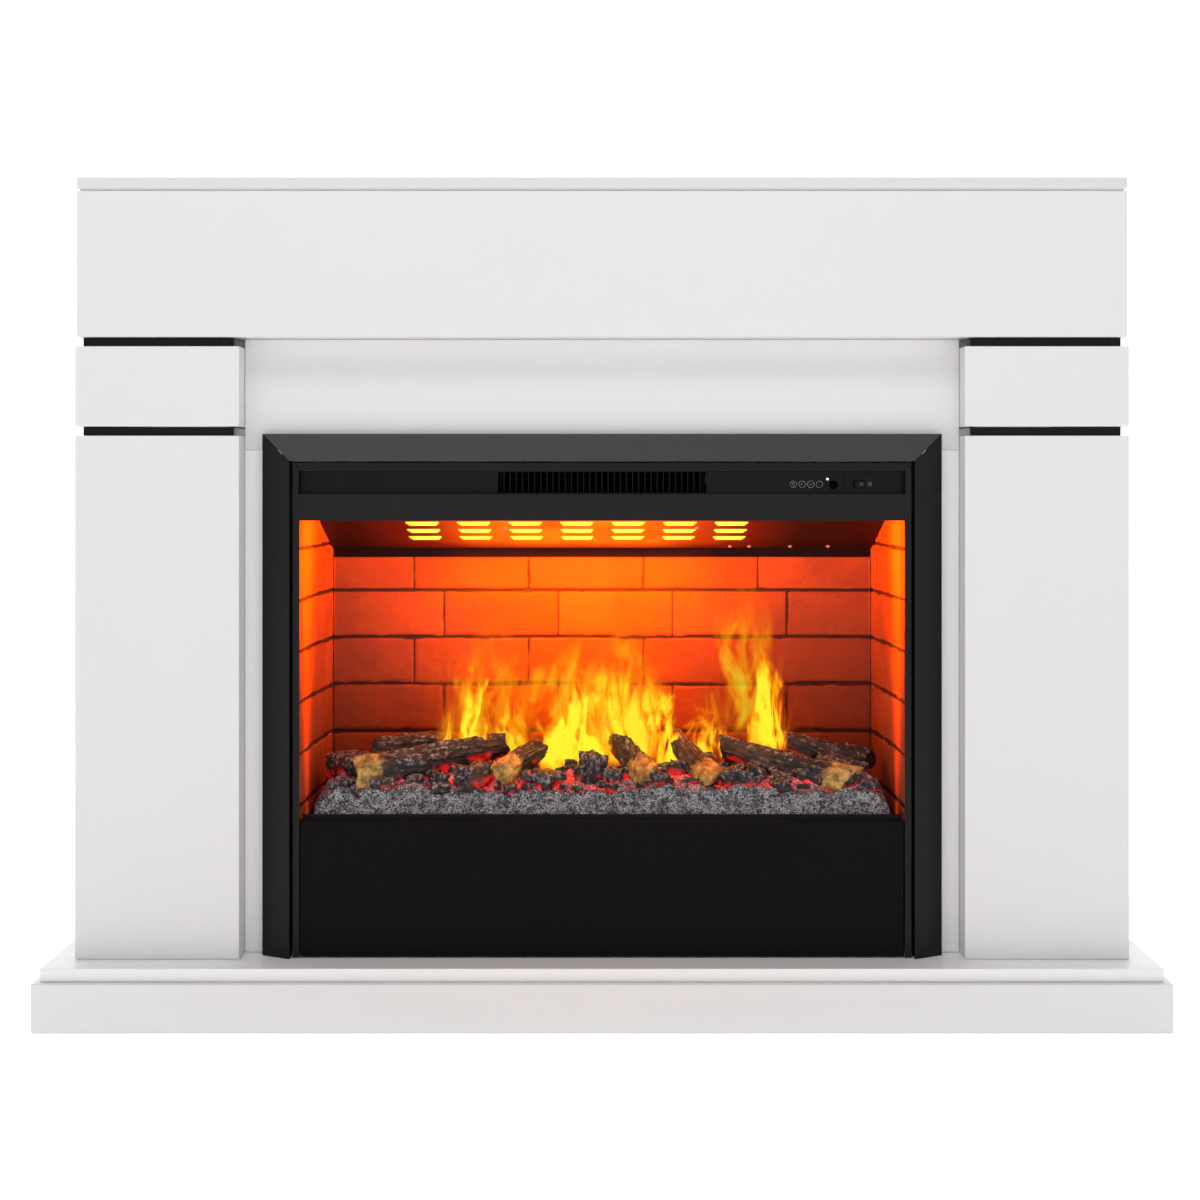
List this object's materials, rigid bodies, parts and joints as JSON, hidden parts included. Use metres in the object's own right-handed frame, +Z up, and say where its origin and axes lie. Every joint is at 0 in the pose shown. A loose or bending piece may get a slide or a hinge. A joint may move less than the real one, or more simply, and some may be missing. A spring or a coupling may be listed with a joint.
{
  "type": "electric fireplace",
  "caption": "Free-standing electric fireplace: white panelled surround with a black mist-flame firebox insert, log bed, heater, control strip and water drawer.",
  "frame": {"origin": "centre of the footprint, on the floor", "axes": "+X to the right seen from the front, +Y to the back, +Z up; the front faces -Y"},
  "size_m": [1.36, 0.378, 1.027],
  "materials": {
    "white_board": "satin white lacquer on MDF",
    "black_board": "gloss black",
    "black_steel": "black powder coat",
    "zinc_steel": "zinc-plated sheet",
    "black_plastic": "fine-grained moulding",
    "black_gloss": "smoked window",
    "red_lens": "lit lens",
    "brick": "matt moulded brick",
    "ash_resin": "rough moulded ash",
    "log_resin": "rough moulded bark",
    "clear_plastic": "translucent",
    "quartz": "frosted quartz, lit",
    "circuit_board": "solder mask"
  },
  "bodies": {
    "fireplace": {"bed_tray": "black_steel", "blower_housing": "zinc_steel", "blower_motor": "zinc_steel", "brick_back": "brick", "brick_left": "brick", "brick_right": "brick", "capital_left": "white_board", "capital_right": "white_board", "casing_back": "zinc_steel", "casing_floor": "zinc_steel", "casing_wrap": "zinc_steel", "ceiling_panel": "black_steel", "column_left": "white_board", "column_right": "white_board", "control_board": "circuit_board", "control_panel": "black_plastic", "cord_inlet": "black_plastic", "ember_bed": "ash_resin", "front_bezel": "black_steel", "header_panel": "white_board", "heater_reflector": "zinc_steel", "infill_left": "white_board", "infill_right": "white_board", "ir_window": "black_gloss", "lamp_bar": "zinc_steel", "log_back_left": "log_resin", "log_back_right": "log_resin", "log_centre_left": "log_resin", "log_centre_right": "log_resin", "log_front_left": "log_resin", "log_front_right": "log_resin", "log_right_leaning": "log_resin", "lower_spacer_left": "black_board", "lower_spacer_right": "black_board", "mantel_shell": "white_board", "mantel_soffit": "white_board", "outlet_grille": "black_plastic", "plinth_frame": "white_board", "plinth_top": "white_board", "quartz_tube": "quartz", "rear_rail": "white_board", "status_led": "red_lens", "top_board": "white_board", "trim_left": "black_steel", "trim_right": "black_steel", "trim_top": "black_steel", "upper_spacer_left": "black_board", "upper_spacer_right": "black_board"},
    "drawer": {"drawer_front": "black_steel", "drawer_tray": "black_plastic", "water_tank": "clear_plastic", "tank_cap": "black_plastic", "mist_unit": "black_plastic"},
    "mist_fan": {"mist_fan_rotor": "black_plastic"},
    "blower": {"blower_rotor": "zinc_steel"},
    "rocker": {"power_rocker": "black_plastic"},
    "key_standby": {"button_standby": "black_plastic"},
    "key_flame": {"button_flame": "black_plastic"},
    "key_heat_low": {"button_heat_low": "black_plastic"},
    "key_heat_high": {"button_heat_high": "black_plastic"}
  },
  "joints": [
    {"name": "drawer_slide", "type": "slide", "parent": "fireplace", "child": "drawer", "axis": [0, -1, 0], "range_m": [0, 0.175]},
    {"name": "mist_fan_spin", "type": "hinge", "parent": "drawer", "child": "mist_fan", "pos_m": [-0.202, -0.016, 0.1155], "axis": [1, 0, 0], "continuous": true},
    {"name": "blower_spin", "type": "hinge", "parent": "fireplace", "child": "blower", "pos_m": [0, -0.037, 0.6585], "axis": [1, 0, 0], "continuous": true},
    {"name": "rocker_tilt", "type": "hinge", "parent": "fireplace", "child": "rocker", "pos_m": [0.316, -0.112, 0.653], "axis": [0, 0, 1], "range_deg": [-16, 0]},
    {"name": "press_standby", "type": "slide", "parent": "fireplace", "child": "key_standby", "axis": [0, 1, 0], "range_m": [0, 0.001], "stiffness_N_per_m": 300},
    {"name": "press_flame", "type": "slide", "parent": "fireplace", "child": "key_flame", "axis": [0, 1, 0], "range_m": [0, 0.001], "stiffness_N_per_m": 300},
    {"name": "press_heat_low", "type": "slide", "parent": "fireplace", "child": "key_heat_low", "axis": [0, 1, 0], "range_m": [0, 0.001], "stiffness_N_per_m": 300},
    {"name": "press_heat_high", "type": "slide", "parent": "fireplace", "child": "key_heat_high", "axis": [0, 1, 0], "range_m": [0, 0.001], "stiffness_N_per_m": 300}
  ]
}
